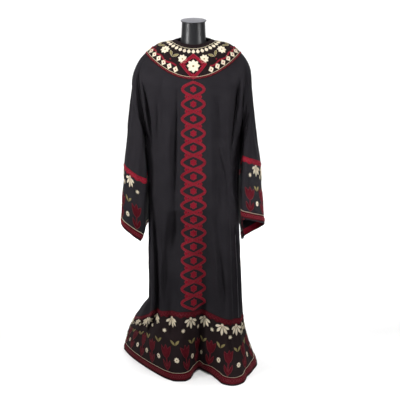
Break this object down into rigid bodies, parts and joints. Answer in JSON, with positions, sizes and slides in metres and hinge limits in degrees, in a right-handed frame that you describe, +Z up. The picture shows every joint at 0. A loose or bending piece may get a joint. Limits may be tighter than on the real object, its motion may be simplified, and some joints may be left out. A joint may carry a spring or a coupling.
{
  "type": "costume robe on a limbless dress form",
  "caption": "Floor-length black costume robe with a round decorated yoke, wide hanging sleeves and a flared bordered hem, standing on a headless, limbless dress form.",
  "frame": {"origin": "on the floor, on the flat underside of the round base, straight below the neck", "axes": "+Z up, -Y the front of the robe, +X the wearer's left side (the picture's right)"},
  "size_m": [0.6749, 0.6172, 1.6035],
  "materials": {
    "robe": "matt black crepe",
    "trim": "black crepe with crimson, wine red, cream and olive applique",
    "form": "gloss black",
    "cap": "satin blue-grey",
    "stand": "dark powder coat"
  },
  "bodies": {
    "root": {"yoke": "trim", "front": "robe", "back": "robe", "sleeve_left": "robe", "sleeve_right": "robe", "cuff_left": "trim", "cuff_right": "trim", "hem_front": "trim", "hem_back": "trim", "form_torso": "form", "form_cap": "cap", "form_pole": "stand", "form_base": "stand"}
  },
  "joints": []
}
